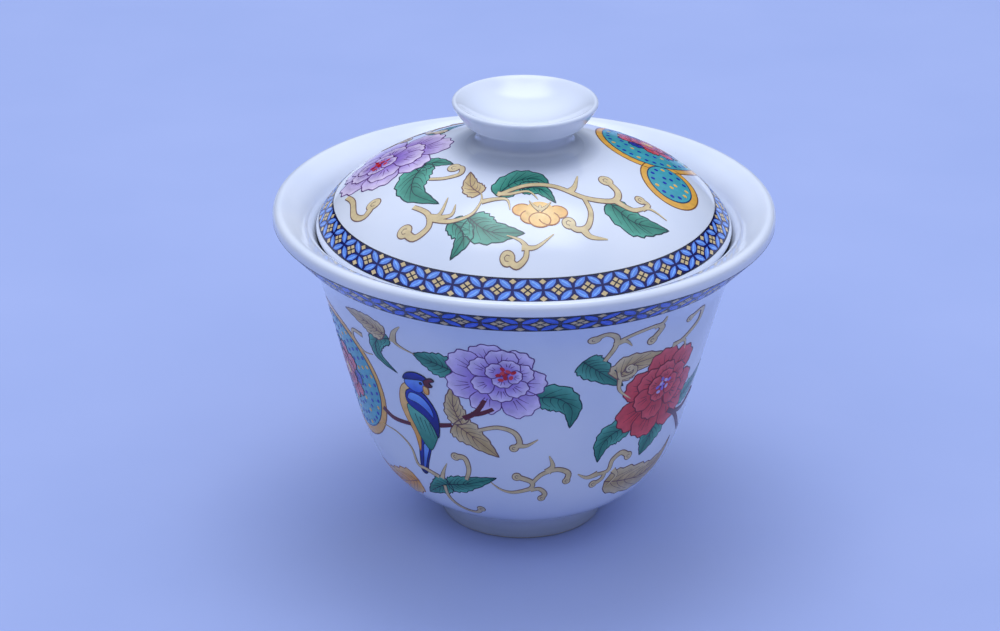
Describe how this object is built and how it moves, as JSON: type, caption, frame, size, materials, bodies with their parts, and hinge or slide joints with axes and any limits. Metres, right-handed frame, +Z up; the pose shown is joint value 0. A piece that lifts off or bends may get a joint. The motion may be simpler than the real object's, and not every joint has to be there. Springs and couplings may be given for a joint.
{
  "type": "covered tea bowl",
  "caption": "Flared porcelain tea bowl on a foot ring, with a domed lift-off lid that sits inside the flare and has a dish-shaped knob.",
  "frame": {"origin": "centre of the foot ring's standing face, on the table", "axes": "+Z up along the axis of the bowl and lid; the piece is round, so +X and +Y are free"},
  "size_m": [0.1054, 0.1054, 0.094],
  "materials": {
    "body_glaze": "gloss",
    "foot_glaze": "gloss, bare on the standing face"
  },
  "bodies": {
    "bowl": {"bowl": "body_glaze", "foot_ring": "foot_glaze"},
    "lid": {"lid": "body_glaze", "lid_knob": "body_glaze"}
  },
  "joints": [
    {"name": "lid_lift", "type": "slide", "parent": "bowl", "child": "lid", "axis": [0, 0, 1], "range_m": [0, 0.08]}
  ]
}
